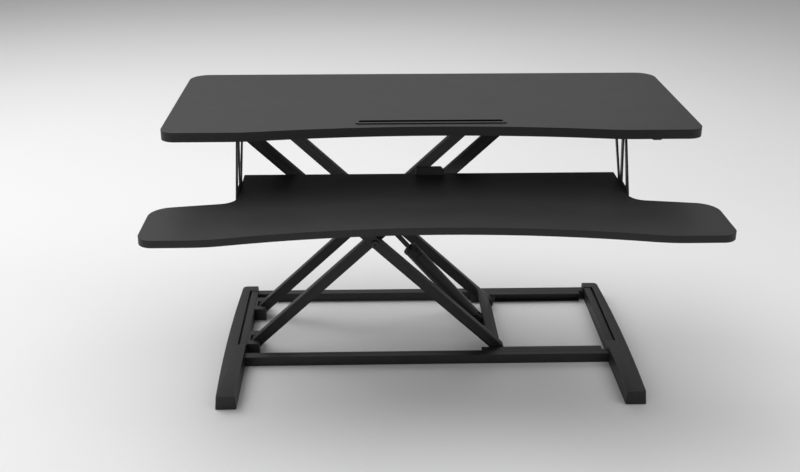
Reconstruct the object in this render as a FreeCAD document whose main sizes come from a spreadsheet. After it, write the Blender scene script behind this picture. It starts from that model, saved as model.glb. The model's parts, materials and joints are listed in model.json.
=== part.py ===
# Standing desk converter: a height adjustable platform on a scissor frame, with a keyboard tray.
# Millimetres, +Z up, front of the object towards -Y, ground at Z = 0, rest pose fully raised.
import math
import os
import re

import FreeCAD, Part
from FreeCAD import Rotation, Vector

DIMENSIONS = {
    # desktop board
    "desk_width": 950, "desk_depth": 400, "desk_thick": 17, "desk_top": 504, "desk_front": -96,
    "desk_front_radius": 26, "desk_rear_radius": 37, "desk_curve_half": 350, "desk_curve_depth": 28,
    "slot_half_length": 129, "slot_rear": -27.4, "slot_width": 12.4, "slot_depth": 12, "slot_end_radius": 5.2,
    "slot_shift": -1.5,
    "lip_half_length": 134.5, "lip_width": 12, "lip_flat": 6, "lip_rise": 2, "lip_radius": 6,
    # keyboard tray
    "tray_width": 968, "tray_front": -304, "tray_top": 391, "tray_thick": 13, "tray_side_rear": -163.5,
    "tray_neck_front": -139.3, "tray_neck_half": 343, "tray_neck_rear": 5.2, "tray_front_radius": 25,
    "tray_rear_radius": 40, "tray_neck_radius": 30, "tray_curve_half": 400, "tray_curve_depth": 44,
    "clip_half": 26, "clip_front": -3, "clip_rise": 14.5, "clip_base": 3,
    "hanger_gap": 0.5, "hanger_thick": 3, "hanger_flange": 26, "hanger_screw_x": 329,
    # base frame
    "foot_inner": 358.8, "foot_outer_front": 397.6, "foot_outer_middle": 401.6, "foot_outer_rear": 395.9,
    "foot_outer_corner": 395.1, "foot_shift": -1.4, "foot_corner_radius": 9, "foot_front_radius": 3,
    "foot_front": -178.5, "foot_rear": 290, "foot_top": 28, "foot_slope_outer": 2.6, "foot_slope_inner": 1.5,
    "groove_width": 4.2, "groove_depth": 8, "pad_height": 1, "pad_radius": 8, "pad_sunk": 1.9, "pad_x": 386,
    "front_bar_rear": 0, "rear_bar_front": 266, "bar_size": 19, "bar_wall": 2, "bar_half_length": 380,
    "foot_screw_x": 369, "foot_screw_radius": 3, "foot_screw_head": 5, "foot_screw_head_height": 4,
    "rail_front": 20.5, "rail_outer": 374, "rail_inner": 360, "rail_top": 27,
    "bracket_inner": 336, "bracket_lead": 16.5, "bracket_length": 57, "bracket_slot": 22,
    "bracket_mouth": 6.5,
    # scissor arms
    "pivot_span": 674.6, "arm_angle": 43.2, "arm_depth": 20.4, "arm_thick": 17, "arm_wall": 2, "arm_plug": 16,
    "pivot_left": -348.7, "pivot_low": 14.4, "arm_gap": 6, "outer_arm_front": 17.5, "outer_arm_rear": 218,
    "centre_tube_radius": 11, "bolt_head_radius": 6.2, "bolt_head": 4, "bolt_shank": 54,
    "washer_radius": 9, "spacer_radius_front": 5, "spacer_radius_rear": 8,
    "pin_radius": 4, "axle_radius": 5, "trunnion_radius": 2.5, "fit": 0.05, "slide_fit": 0.2, "side_gap": 0.3,
    # tracks and slides
    "track_start": 119, "track_end": 347.5, "track_width": 14, "track_wall": 2, "track_cap": 11,
    "track_step": 1.2,
    "shoe_half": 18, "upper_rail_low": 466, "upper_rail_front": 63.5, "upper_rail_rear": 178.5,
    "upper_rail_start": -342, "upper_track_start": 95, "upper_track_end": 338,
    "upper_block_width": 25, "upper_block_inner": 338, "upper_bar_left_height": 10,
    "upper_bar_right_height": 12, "upper_bar_right_width": 14, "upper_bar_right_setback": 20,
    "slide_half": 15, "slide_width": 11.1, "frame_screw_radius": 2.5, "frame_screw_head": 4.5,
    # gas spring
    "spring_y": 92, "spring_foot_reach": 291.85, "spring_foot_turn": 1.04, "spring_lever": 45,
    "spring_lever_turn": 97.3, "lever_root_radius": 16, "lever_tip_radius": 9.5,
    "top_bolt_head": 4, "top_bolt_head_radius": 6.5, "cylinder_radius": 14.2, "cylinder_start": 14,
    "cylinder_end": 217, "cylinder_wall": 2, "cylinder_eye_radius": 11, "eye_neck_half": 9,
    "cap_height": 9, "cap_plug": 9, "cap_rim": 0.8, "cap_nose_radius": 9, "cap_nose": 2.5,
    "rod_radius": 5, "rod_start": 150, "piston_length": 9, "head_reach": 40, "head_length": 32,
    "head_half": 9, "head_eye_radius": 8.5, "head_neck_half": 7, "head_socket": 6,
    "tongue_thick": 12, "ear_thick": 4, "ear_gap": 14,
    "ear_radius": 12, "ear_block_start": 10, "ear_block_length": 32, "nut_radius": 8, "nut_thick": 5.5,
    "cross_plate_start": 293.5, "cross_plate_width": 33.5, "cross_plate_thick": 3, "gusset": 14,
    # release lever
    "lever_x": 400, "lever_pivot_y": -22, "lever_pivot_height": 481, "lever_length": 46,
    "lever_half_width": 8, "lever_pin_radius": 3, "lever_pin_head": 1.4, "lever_pin_head_radius": 4.5,
    "cheek_thick": 3, "cheek_outer": 17, "cheek_length": 24, "hub_half": 12, "hub_length": 20,
    "coil_inner": 3.3, "coil_outer": 4.6, "coil_length": 5.2,
}

UP = Rotation(Vector(1, 0, 0), 0)
ALONG_X = Rotation(Vector(0, 1, 0), 90)
ALONG_Y = Rotation(Vector(1, 0, 0), -90)
# sketch planes: first sketch axis, second sketch axis, extrusion direction
PLANE_XY = UP
PLANE_YZ = Rotation(Vector(1, 1, 1), 120)
PLANE_XZ = Rotation(Vector(1, 0, 0), 90)

doc = FreeCAD.newDocument("StandingDeskConverter")
sheet = doc.addObject("Spreadsheet::Sheet", "dims")
for row, (alias, value) in enumerate(DIMENSIONS.items(), start=1):
    sheet.set(f"A{row}", alias)
    sheet.set(f"B{row}", str(value))
    sheet.setAlias(f"B{row}", alias)
doc.recompute()

NODES = []
counter = [0]


def cell(alias):
    """Value of one driving dimension."""
    return float(sheet.get(alias))


def formula(text):
    """Expression text with every dimension name pointed at the sheet."""
    return re.sub(r"\b(?!sin\b|cos\b|deg\b)[a-z]\w+", r"dims.\g<0>", str(text))


def part(kind):
    """New construction object with a running name."""
    counter[0] += 1
    return doc.addObject(kind, f"Item{counter[0]:03d}")


def place(item, at, turn=UP):
    """Bind the position of an item and set how it is turned."""
    item.Placement = FreeCAD.Placement(Vector(0, 0, 0), turn)
    for axis, text in zip("xyz", at):
        item.setExpression(f"Placement.Base.{axis}", formula(text))
    return item


def block(at, size):
    """Box from its low corner and its three sizes."""
    item = part("Part::Box")
    for side, text in zip(("Length", "Width", "Height"), size):
        item.setExpression(side, formula(text))
    return place(item, at)


def rod(at, radius, length, turn=ALONG_Y):
    """Cylinder starting at a point and running along one axis."""
    item = part("Part::Cylinder")
    item.setExpression("Radius", formula(radius))
    item.setExpression("Height", formula(length))
    return place(item, at, turn)


def fuse(*items):
    """One solid from several touching ones."""
    item = part("Part::MultiFuse")
    item.Shapes = list(items)
    item.Refine = True
    return item


def cut(base, *tools):
    """Base with every tool taken away."""
    for tool in tools:
        item = part("Part::Cut")
        item.Base = base
        item.Tool = tool
        base = item
    return base


def common(first, second):
    """Volume shared by two solids."""
    item = part("Part::Common")
    item.Base = first
    item.Tool = second
    return item


def group(*items):
    """Several separate solids that share one node."""
    item = part("Part::Compound")
    item.Links = list(items)
    return item


def node(label, item):
    """Name a finished piece and queue it for export."""
    item.Label = label
    NODES.append(item)
    return item


def prism(points, length, at, plane=PLANE_XY):
    """Closed outline of lines and arcs, extruded. A point may carry a corner radius."""
    sketch = part("Sketcher::SketchObject")
    for edge in outline(points):
        sketch.addGeometry(edge, False)
    place(sketch, (0, 0, 0))
    item = part("Part::Extrusion")
    item.Base = sketch
    item.DirMode = "Custom"
    item.Dir = Vector(0, 0, 1)
    item.Solid = True
    item.setExpression("LengthFwd", formula(length))
    return place(item, at, plane)


def outline(points):
    """Edges of a closed outline. Entries are (x, y, corner radius) or a ready made edge list."""
    edges = []
    joints = []
    count = len(points)
    for index, entry in enumerate(points):
        if isinstance(entry, list):
            joints.append((entry[0].StartPoint, entry[-1].EndPoint, entry))
            continue
        x, y, radius = (tuple(entry) + (0,))[:3]
        corner = Vector(x, y, 0)
        if radius <= 0:
            joints.append((corner, corner, []))
            continue
        before = anchor(points[index - 1], last=True) - corner
        after = anchor(points[(index + 1) % count], last=False) - corner
        before.normalize()
        after.normalize()
        half = before.getAngle(after) / 2
        reach = radius / math.tan(half)
        start = corner + before * reach
        end = corner + after * reach
        middle_way = before + after
        middle_way.normalize()
        middle = corner + middle_way * (radius / math.sin(half) - radius)
        joints.append((start, end, [Part.Arc(start, middle, end)]))
    for index, (start, end, made) in enumerate(joints):
        edges += made
        following = joints[(index + 1) % count][0]
        if end.distanceToPoint(following) > 1e-6:
            edges.append(Part.LineSegment(end, following))
    return edges


def anchor(entry, last):
    """Point of an outline entry that its neighbour aims at."""
    if isinstance(entry, list):
        return entry[-1].EndPoint if last else entry[0].StartPoint
    return Vector(entry[0], entry[1], 0)


def hollow_front(front, half, depth, blend):
    """Shallow curve that takes the middle of a front edge back, with soft shoulders."""
    total = (half ** 2 + depth ** 2) / (2 * depth)
    share = blend / total
    meet = Vector(half * (1 - share), front + depth * share, 0)
    shoulder_angle = math.asin(half / total) / 2
    shoulder = Vector(half - blend * math.sin(shoulder_angle),
                      front + blend * (1 - math.cos(shoulder_angle)), 0)
    start = Vector(-half, front, 0)
    end = Vector(half, front, 0)
    meet_left = Vector(-meet.x, meet.y, 0)
    shoulder_left = Vector(-shoulder.x, shoulder.y, 0)
    centre = Vector(0, front + depth, 0)
    return [
        Part.Arc(start, shoulder_left, meet_left),
        Part.Arc(meet_left, centre, meet),
        Part.Arc(meet, shoulder, end),
    ]


# ---------------------------------------------------------------- shared positions
ANGLE = cell("arm_angle")
HALF_SPAN = "pivot_span / 2"
CENTRE_X = "pivot_left + pivot_span / 2 * cos(arm_angle * 1 deg)"
CENTRE_Z = "pivot_low + pivot_span / 2 * sin(arm_angle * 1 deg)"
PIVOT_HIGH = "pivot_low + pivot_span * sin(arm_angle * 1 deg)"
SLIDE_X = "pivot_left + pivot_span * cos(arm_angle * 1 deg)"
DESK_UNDER = "desk_top - desk_thick"
TRAY_UNDER = "tray_top - tray_thick"
INNER_FRONT = "outer_arm_front + arm_thick + arm_gap"
INNER_REAR = "outer_arm_rear - arm_gap - arm_thick"
RISE = Rotation(Vector(0, 1, 0), -ANGLE)
FALL = Rotation(Vector(0, 1, 0), ANGLE)


# ---------------------------------------------------------------- base frame
def foot_outline(side, inset_outer, inset_inner):
    """Plan of a foot: straight inside, gently bowed outside, rounded corners."""
    shift = cell("foot_shift")
    inner = side * (cell("foot_inner") + inset_inner) + shift
    front, rear = cell("foot_front"), cell("foot_rear")
    round_front, round_rear = cell("foot_front_radius"), cell("foot_corner_radius")
    bow = [Vector(side * (cell(name) - inset_outer) + shift, y, 0) for name, y in (
        ("foot_outer_front", front + 2 * round_front), ("foot_outer_middle", (front + rear) / 2 - 16),
        ("foot_outer_rear", rear - 1.5 * round_rear))]
    corner = side * (cell("foot_outer_corner") - inset_outer) + shift
    return outline([(inner, front, round_front), (bow[0].x, front, round_front), [Part.Arc(*bow)],
                    (corner, rear, round_rear), (inner, rear)])


def foot(side):
    """Foot moulding with crossbar sockets, a recess for the side rail and a groove beside it."""
    sections = []
    for inset_outer, inset_inner, height in (
            (0, 0, "pad_height"), (cell("foot_slope_outer"), cell("foot_slope_inner"), "foot_top")):
        sketch = part("Sketcher::SketchObject")
        for edge in foot_outline(side, inset_outer, inset_inner):
            sketch.addGeometry(edge, False)
        sections.append(place(sketch, (0, 0, height)))
    body = part("Part::Loft")
    body.Sections = sections
    body.Solid = True
    body.Ruled = True

    def span(near, far):
        """Start and width of an X range on this side."""
        return (near if side > 0 else f"-({far})", f"({far}) - ({near})")

    cuts = []
    start, width = span("rail_inner - 8", "bar_half_length + 0.2")
    for edge in ("front_bar_rear - bar_size", "rear_bar_front"):
        cuts.append(block((start, f"{edge} - 0.1", "pad_height - 1"),
                          (width, "bar_size + 0.2", "bar_size + 1.1")))
    start, width = span("rail_inner - 8", "rail_outer + 0.2")
    cuts.append(block((start, "rail_front - 0.3", "pad_height - 1"),
                      (width, "rear_bar_front - rail_front + 0.4", "foot_top + 2")))
    start, width = span("rail_outer", "rail_outer + groove_width")
    cuts.append(block((start, "rail_front - 0.3", "foot_top - groove_depth"),
                      (width, "rear_bar_front - rail_front + 2.8", "groove_depth + 1")))
    start, width = span("rail_inner - 8", "rail_outer + groove_width")
    cuts.append(block((start, "rear_bar_front", "rail_top - 0.5"), (width, 2.5, 4)))
    for y in PAD_Y:
        cuts.append(rod((f"{side} * pad_x", y, "pad_height - 1"), "pad_radius + 0.1", "pad_sunk + 1.1", UP))
    for y in SCREW_Y:
        cuts.append(rod((f"{side} * foot_screw_x", y, "pad_height + bar_size - 1"),
                        "foot_screw_radius + fit", 7, UP))
    return cut(body, *cuts)


PAD_Y = ("foot_front + 20", "foot_rear - 42")
SCREW_Y = ("front_bar_rear - bar_size / 2", "rear_bar_front + bar_size / 2")
node("foot_left", foot(-1))
node("foot_right", foot(1))
node("foot_pads", group(*[rod((f"{side} * pad_x", y, 0), "pad_radius", "pad_height + pad_sunk", UP)
                          for side in (-1, 1) for y in PAD_Y]))


def crossbar(front):
    """Square tube between the feet, drilled for the foot screws."""
    tube = cut(
        block(("-bar_half_length", front, "pad_height"), ("2 * bar_half_length", "bar_size", "bar_size")),
        block(("-bar_half_length - 1", f"{front} + bar_wall", "pad_height + bar_wall"),
              ("2 * bar_half_length + 2", "bar_size - 2 * bar_wall", "bar_size - 2 * bar_wall")))
    for side in (-1, 1):
        middle = (f"{side} * foot_screw_x", f"{front} + bar_size / 2", "pad_height - 1")
        tube = cut(tube, rod(middle, "foot_screw_radius + fit", "bar_size + 2", UP),
                   rod(middle, "foot_screw_head + 1.5", "bar_wall + 2", UP))
    return tube


node("front_crossbar", crossbar("front_bar_rear - bar_size"))
node("rear_crossbar", crossbar("rear_bar_front"))

screws = []
for side in (-1, 1):
    for y in SCREW_Y:
        top = "pad_height + bar_size - bar_wall"
        screws.append(fuse(rod((f"{side} * foot_screw_x", y, f"{top} - foot_screw_head_height"),
                               "foot_screw_head", "foot_screw_head_height", UP),
                           rod((f"{side} * foot_screw_x", y, top),
                               "foot_screw_radius", "bar_wall + 5.5", UP)))
node("foot_screws", group(*screws))


def side_rail(side):
    """Folded steel rail let into the foot, open underneath."""
    start = "rail_inner" if side > 0 else "-rail_outer"
    wide = "rail_outer - rail_inner"
    long = "rear_bar_front - rail_front"
    body = block((start, "rail_front", "pad_height"), (wide, long, "rail_top - pad_height"))
    hollow = block((f"{start} + bar_wall", "rail_front + 8", "pad_height - 1"),
                   (f"{wide} - 2 * bar_wall", f"{long} - 16", "rail_top - pad_height - bar_wall + 1"))
    return cut(body, hollow)


node("side_rail_left", side_rail(-1))
node("side_rail_right", side_rail(1))


def lower_hinge_block(arm_front):
    """Bracket on the side rail with a slot that takes the lower end of an arm."""
    start = f"{arm_front} - bracket_lead"
    body = block(("-rail_inner", start, "pad_height"),
                 ("rail_inner - bracket_inner", "bracket_length", "rail_top - pad_height"))
    slot_y = f"{arm_front} - side_gap"
    swing = "arm_depth / 2 + 0.6"
    room = block(("-rail_inner - 1", slot_y, "pad_height - 1"), (40, "bracket_slot", f"pivot_low + {swing}"))
    mouth = block(("pivot_left - bracket_mouth", slot_y, "pivot_low"), (40, "bracket_slot", "rail_top"))
    hole = rod(("pivot_left", f"{start} + 2", "pivot_low"), "pin_radius + fit", "bracket_length")
    return cut(body, room, mouth, hole)


def lower_hinge_pin(arm_front):
    """Plain pin across a bracket and the arm end in its slot."""
    return rod(("pivot_left", f"{arm_front} - bracket_lead + 2.5", "pivot_low"),
               "pin_radius", "bracket_length - 4")


node("lower_hinge_block_front", lower_hinge_block(INNER_FRONT))
node("lower_hinge_block_rear", lower_hinge_block(INNER_REAR))
node("lower_hinge_pins", group(lower_hinge_pin(INNER_FRONT), lower_hinge_pin(INNER_REAR)))

FRONT_TRACK = "front_bar_rear"
REAR_TRACK = "rear_bar_front - track_width"


def lower_track(front, opens):
    """Channel beside a crossbar, open towards the arms, with a set back lower flange."""
    inside = "track_end - track_start - 2 * track_wall"
    low = "track_start + track_wall"
    body = block(("track_start", front, "pad_height"), ("track_end - track_start", "track_width", "bar_size"))
    room_y = f"{front} + track_wall" if opens > 0 else f"{front} - 1"
    room = block((low, room_y, "pad_height + track_wall"),
                 (inside, "track_width - track_wall + 1", "bar_size - 2 * track_wall"))
    step_y = f"{front} + track_width - track_step" if opens > 0 else f"{front} - 1"
    step = block((low, step_y, "pad_height - 1"), (inside, "track_step + 1", "track_wall + 2"))
    return cut(body, room, step)


node("lower_track_front", lower_track(FRONT_TRACK, 1))
node("lower_track_rear", lower_track(REAR_TRACK, -1))
node("track_end_caps", group(*[
    block(("track_start - track_cap", front, "pad_height"), ("track_cap", "track_width", "bar_size"))
    for front in (FRONT_TRACK, REAR_TRACK)]))


# ---------------------------------------------------------------- scissor arms
def arm(turn, front):
    """Rectangular tube with rounded, plugged ends and a boss around its centre pivot."""
    low = "-arm_depth / 2"
    body = fuse(
        block((f"-{HALF_SPAN}", 0, low), ("pivot_span", "arm_thick", "arm_depth")),
        rod((f"-{HALF_SPAN}", 0, 0), "arm_depth / 2", "arm_thick"),
        rod((HALF_SPAN, 0, 0), "arm_depth / 2", "arm_thick"))
    cavity = block((f"arm_plug - {HALF_SPAN}", "arm_wall", f"{low} + arm_wall"),
                   ("pivot_span - 2 * arm_plug", "arm_thick - 2 * arm_wall", "arm_depth - 2 * arm_wall"))
    shell = fuse(cut(body, cavity), rod((0, 0, 0), "2 * pin_radius", "arm_thick"))
    bores = ((f"-{HALF_SPAN}", "pin_radius"), ("0", "pin_radius"), (HALF_SPAN, "axle_radius"))
    holes = [rod((x, -1, 0), f"{radius} + fit", "arm_thick + 2") for x, radius in bores]
    return place(cut(shell, *holes), (CENTRE_X, front, CENTRE_Z), turn)


node("arm_a_front", arm(RISE, INNER_FRONT))
node("arm_a_rear", arm(RISE, INNER_REAR))
node("arm_b_front", arm(FALL, "outer_arm_front"))
node("arm_b_rear", arm(FALL, "outer_arm_rear"))

tube_start = f"{INNER_FRONT} + arm_thick"
tube_length = f"({INNER_REAR}) - ({tube_start})"
node("centre_tube", cut(
    rod((CENTRE_X, tube_start, CENTRE_Z), "centre_tube_radius", tube_length),
    rod((CENTRE_X, f"{tube_start} - 1", CENTRE_Z), "pin_radius + fit", f"{tube_length} + 2")))

bolts = []
OUTER_REAR_FACE = "outer_arm_rear + arm_thick"
for shank, head in (("outer_arm_front - 0.5", "outer_arm_front - side_gap - bolt_head"),
                    (f"{OUTER_REAR_FACE} + 0.5 - bolt_shank", f"{OUTER_REAR_FACE} + side_gap")):
    bolts.append(fuse(rod((CENTRE_X, head, CENTRE_Z), "bolt_head_radius", "bolt_head"),
                      rod((CENTRE_X, shank, CENTRE_Z), "pin_radius", "bolt_shank")))
node("centre_bolts", group(*bolts))


def washer(at, inner, outer, thick):
    """Flat ring around an axis that runs front to back."""
    x, y, z = at
    return cut(rod(at, outer, thick), rod((x, f"{y} - 1", z), inner, f"{thick} + 2"))


node("centre_washers", group(
    washer((CENTRE_X, "outer_arm_front + arm_thick + side_gap", CENTRE_Z), "pin_radius + fit",
           "washer_radius", "arm_gap - side_gap"),
    washer((CENTRE_X, INNER_REAR + " + arm_thick", CENTRE_Z), "pin_radius + fit",
           "washer_radius", "arm_gap - side_gap")))

# ---------------------------------------------------------------- gas spring
EAR_SIDES = ("spring_y - ear_gap / 2 - ear_thick", "spring_y + ear_gap / 2")
LEVER_TURN = Rotation(Vector(0, 1, 0), -cell("spring_lever_turn"))
TOP_X = f"{CENTRE_X} + spring_lever * cos(spring_lever_turn * 1 deg)"
TOP_Z = f"{CENTRE_Z} + spring_lever * sin(spring_lever_turn * 1 deg)"
FOOT_X = f"{CENTRE_X} + spring_foot_reach * cos((arm_angle + spring_foot_turn) * 1 deg)"
FOOT_Z = f"{CENTRE_Z} - spring_foot_reach * sin((arm_angle + spring_foot_turn) * 1 deg)"


def lever_plate(y):
    """Link shaped plate welded on the centre tube, carrying the upper end of the gas spring."""
    reach = cell("spring_lever")
    root, tip = cell("lever_root_radius") - 1, cell("lever_tip_radius") - 0.5
    web = prism([(0, -root), (reach, -tip), (reach, tip), (0, root)], "ear_thick",
                (0, "ear_thick", 0), PLANE_XZ)
    body = fuse(web, rod((0, 0, 0), "lever_root_radius", "ear_thick"),
                rod(("spring_lever", 0, 0), "lever_tip_radius", "ear_thick"))
    body = cut(body, rod((0, -1, 0), "centre_tube_radius + fit", "ear_thick + 2"),
               rod(("spring_lever", -1, 0), "pin_radius + fit", "ear_thick + 2"))
    return place(body, (CENTRE_X, y, CENTRE_Z), LEVER_TURN)


node("spring_lever_plates", group(*[lever_plate(y) for y in EAR_SIDES]))

stubs = []
for head, shank in ((f"{EAR_SIDES[0]} - top_bolt_head - 0.1", f"{EAR_SIDES[0]} - 0.2"),
                    (f"{EAR_SIDES[1]} + ear_thick + 0.1", f"{EAR_SIDES[1]} + 0.2")):
    stubs.append(fuse(rod((TOP_X, head, TOP_Z), "top_bolt_head_radius", "top_bolt_head"),
                      rod((TOP_X, shank, TOP_Z), "pin_radius", "ear_thick")))
node("spring_top_bolts", group(*stubs))

PLATE_UNDER = "arm_depth / 2 - cross_plate_thick"


def foot_ear(y):
    """Ear below the cross plate that holds the lower end of the gas spring."""
    rise = f"{PLATE_UNDER} + spring_foot_reach * sin(spring_foot_turn * 1 deg)"
    body = fuse(block(("-ear_block_start", 0, 0), ("ear_block_length", "ear_thick", rise)),
                rod((0, 0, 0), "ear_radius", "ear_thick"))
    body = cut(body, rod((0, -1, 0), "pin_radius + fit", "ear_thick + 2"))
    return place(body, (FOOT_X, y, FOOT_Z), FALL)


gusset, plate_width = cell("gusset"), cell("cross_plate_width")
plate_depth = cell("outer_arm_rear") - cell("outer_arm_front") - cell("arm_thick")
near = gusset * (1 - math.sqrt(0.5))
corner_front = Part.Arc(Vector(0, gusset, 0), Vector(-near, near, 0), Vector(-gusset, 0, 0))
corner_rear = Part.Arc(Vector(-gusset, plate_depth, 0), Vector(-near, plate_depth - near, 0),
                       Vector(0, plate_depth - gusset, 0))
plate_points = [[corner_front], (plate_width, 0), (plate_width, plate_depth), [corner_rear]]
node("lower_cross_plate", place(
    prism(plate_points, "cross_plate_thick", (0, 0, 0)),
    (f"{CENTRE_X} + cross_plate_start * cos(arm_angle * 1 deg) + ({PLATE_UNDER}) * sin(arm_angle * 1 deg)",
     "outer_arm_front + arm_thick",
     f"{CENTRE_Z} - cross_plate_start * sin(arm_angle * 1 deg) + ({PLATE_UNDER}) * cos(arm_angle * 1 deg)"),
    FALL))
node("spring_foot_ears", group(*[foot_ear(y) for y in EAR_SIDES]))
node("spring_foot_pin", fuse(
    rod((FOOT_X, f"{EAR_SIDES[0]} - 1", FOOT_Z), "pin_radius", "ear_gap + 2 * ear_thick + 2"),
    rod((FOOT_X, f"{EAR_SIDES[0]} - nut_thick - 0.1", FOOT_Z), "nut_radius", "nut_thick"),
    rod((FOOT_X, f"{EAR_SIDES[1]} + ear_thick + 0.1", FOOT_Z), "nut_radius", "nut_thick")))


def polar(reach, turn):
    """Vector in the XZ plane at an angle above +X."""
    angle = math.radians(turn)
    return Vector(reach * math.cos(angle), 0, reach * math.sin(angle))


foot_point = polar(cell("spring_foot_reach"), -ANGLE - cell("spring_foot_turn"))
lever_point = polar(cell("spring_lever"), cell("spring_lever_turn"))
SPRING_LENGTH = foot_point.distanceToPoint(lever_point)
SPRING_TURN = Rotation(Vector(1, 0, 0), lever_point - foot_point)


def on_spring(item):
    """Put a piece built from the lower spring pivot along +X onto the spring line."""
    return place(item, (FOOT_X, "spring_y", FOOT_Z), SPRING_TURN)


tongue_half = "-tongue_thick / 2"
bore = "cylinder_radius - cylinder_wall"
node("spring_cylinder_eye", on_spring(cut(
    fuse(rod((0, tongue_half, 0), "cylinder_eye_radius", "tongue_thick"),
         block((0, tongue_half, "-eye_neck_half"), ("cylinder_start", "tongue_thick", "2 * eye_neck_half")),
         rod(("cylinder_start - 0.5", 0, 0), f"{bore} - 0.6", 4, ALONG_X)),
    rod((0, "-tongue_thick", 0), "pin_radius + fit", "2 * tongue_thick"))))
node("spring_cylinder", on_spring(cut(
    rod(("cylinder_start", 0, 0), "cylinder_radius", "cylinder_end - cylinder_start - cap_height", ALONG_X),
    rod(("cylinder_start - 1", 0, 0), bore, "cylinder_end - cylinder_start", ALONG_X))))
node("spring_guide_cap", on_spring(cut(
    fuse(rod(("cylinder_end - cap_height", 0, 0), "cylinder_radius + cap_rim",
             "cap_height - cap_nose + 0.5", ALONG_X),
         rod(("cylinder_end - cap_height - cap_plug + 1", 0, 0), f"{bore} - 0.1", "cap_plug", ALONG_X),
         rod(("cylinder_end - cap_nose", 0, 0), "cap_nose_radius", "cap_nose", ALONG_X)),
    rod(("cylinder_end - 20", 0, 0), "rod_radius + fit", 30, ALONG_X))))
head_start = f"{SPRING_LENGTH} - head_reach"
node("spring_rod", on_spring(group(
    rod(("rod_start", 0, 0), "rod_radius", f"{head_start} + head_socket - rod_start", ALONG_X))))
node("spring_piston", on_spring(cut(
    rod(("rod_start - 1", 0, 0), f"{bore} - 0.3", "piston_length", ALONG_X),
    rod(("rod_start - 2", 0, 0), "rod_radius + fit", 20, ALONG_X))))
node("release_head", on_spring(cut(
    fuse(block((head_start, tongue_half, "-head_half"), ("head_length", "tongue_thick", "2 * head_half")),
         rod((SPRING_LENGTH, tongue_half, 0), "head_eye_radius", "tongue_thick"),
         block((f"{SPRING_LENGTH} - 10", tongue_half, "-head_neck_half"),
               (10, "tongue_thick", "2 * head_neck_half"))),
    rod((SPRING_LENGTH, "-tongue_thick", 0), "pin_radius + fit", "2 * tongue_thick"),
    rod((f"{head_start} - 1", 0, 0), "rod_radius + fit", "head_socket + 1.1", ALONG_X))))


# ---------------------------------------------------------------- lower carriage
def shoe(front):
    """Nylon block that runs inside a lower track on the axle's thin end."""
    body = block((f"{SLIDE_X} - shoe_half", f"{front} + track_wall + side_gap",
                  "pad_height + track_wall + side_gap"),
                 ("2 * shoe_half", "track_width - 2 * track_wall - 2 * side_gap",
                  "bar_size - 2 * track_wall - 2 * side_gap"))
    return cut(body, rod((SLIDE_X, f"{front} - 1", "pivot_low"), "trunnion_radius + fit", "track_width + 2"))


node("lower_shoe_front", shoe(FRONT_TRACK))
node("lower_shoe_rear", shoe(REAR_TRACK))
axle_end = f"{REAR_TRACK} - 1.5"
node("lower_axle", fuse(
    rod((SLIDE_X, "outer_arm_front + 0.1", "pivot_low"), "axle_radius",
        f"{axle_end} - outer_arm_front - 0.1"),
    rod((SLIDE_X, f"{FRONT_TRACK} + 3", "pivot_low"), "trunnion_radius",
        "rear_bar_front - front_bar_rear - 6")))
node("axle_spacers", group(
    washer((SLIDE_X, f"{FRONT_TRACK} + track_width + side_gap", "pivot_low"), "trunnion_radius + fit",
           "spacer_radius_front", "outer_arm_front - track_width - 2 * side_gap"),
    washer((SLIDE_X, "outer_arm_rear + arm_thick + side_gap", "pivot_low"), "axle_radius + fit",
           "spacer_radius_rear", f"{axle_end} - outer_arm_rear - arm_thick - 2 * side_gap")))

# ---------------------------------------------------------------- upper frame under the desktop
UPPER_HIGH = f"({DESK_UNDER}) - upper_rail_low"
UPPER_BLOCKS = ("outer_arm_front + arm_thick + side_gap", "outer_arm_rear - side_gap - upper_block_width")
UPPER_PINS = ("outer_arm_front + 0.4", "outer_arm_rear - side_gap - upper_block_width + 2.4")


def upper_hinge_block(start, blind_start):
    """Solid block on the inner side of an outer arm, bored for the hinge pin."""
    body = block(("-rail_inner", start, "upper_rail_low"),
                 ("rail_inner - upper_block_inner", "upper_block_width", UPPER_HIGH))
    return cut(body, rod(("pivot_left", blind_start, PIVOT_HIGH), "pin_radius + fit", "upper_block_width"))


node("upper_hinge_block_front", upper_hinge_block(UPPER_BLOCKS[0], f"{UPPER_BLOCKS[0]} - 2"))
node("upper_hinge_block_rear", upper_hinge_block(UPPER_BLOCKS[1], f"{UPPER_BLOCKS[1]} + 2"))
node("upper_hinge_pins", group(*[
    rod(("pivot_left", start, PIVOT_HIGH), "pin_radius", "arm_thick + side_gap + upper_block_width - 2.8")
    for start in UPPER_PINS]))

FRAME_SCREW_X = (-290, -120, 70)


def upper_rail(front):
    """Square tube that carries the desktop, drilled for its screws."""
    long = "upper_track_start - upper_rail_start"
    body = cut(
        block(("upper_rail_start", front, "upper_rail_low"), (long, "track_width", UPPER_HIGH)),
        block(("upper_rail_start - 1", f"{front} + track_wall", "upper_rail_low + track_wall"),
              (f"{long} + 2", "track_width - 2 * track_wall", f"{UPPER_HIGH} - 2 * track_wall")))
    holes = [rod((x, f"{front} + track_width / 2", "upper_rail_low - 1"), "frame_screw_radius + fit", 24, UP)
             for x in FRAME_SCREW_X]
    return cut(body, *holes)


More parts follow.
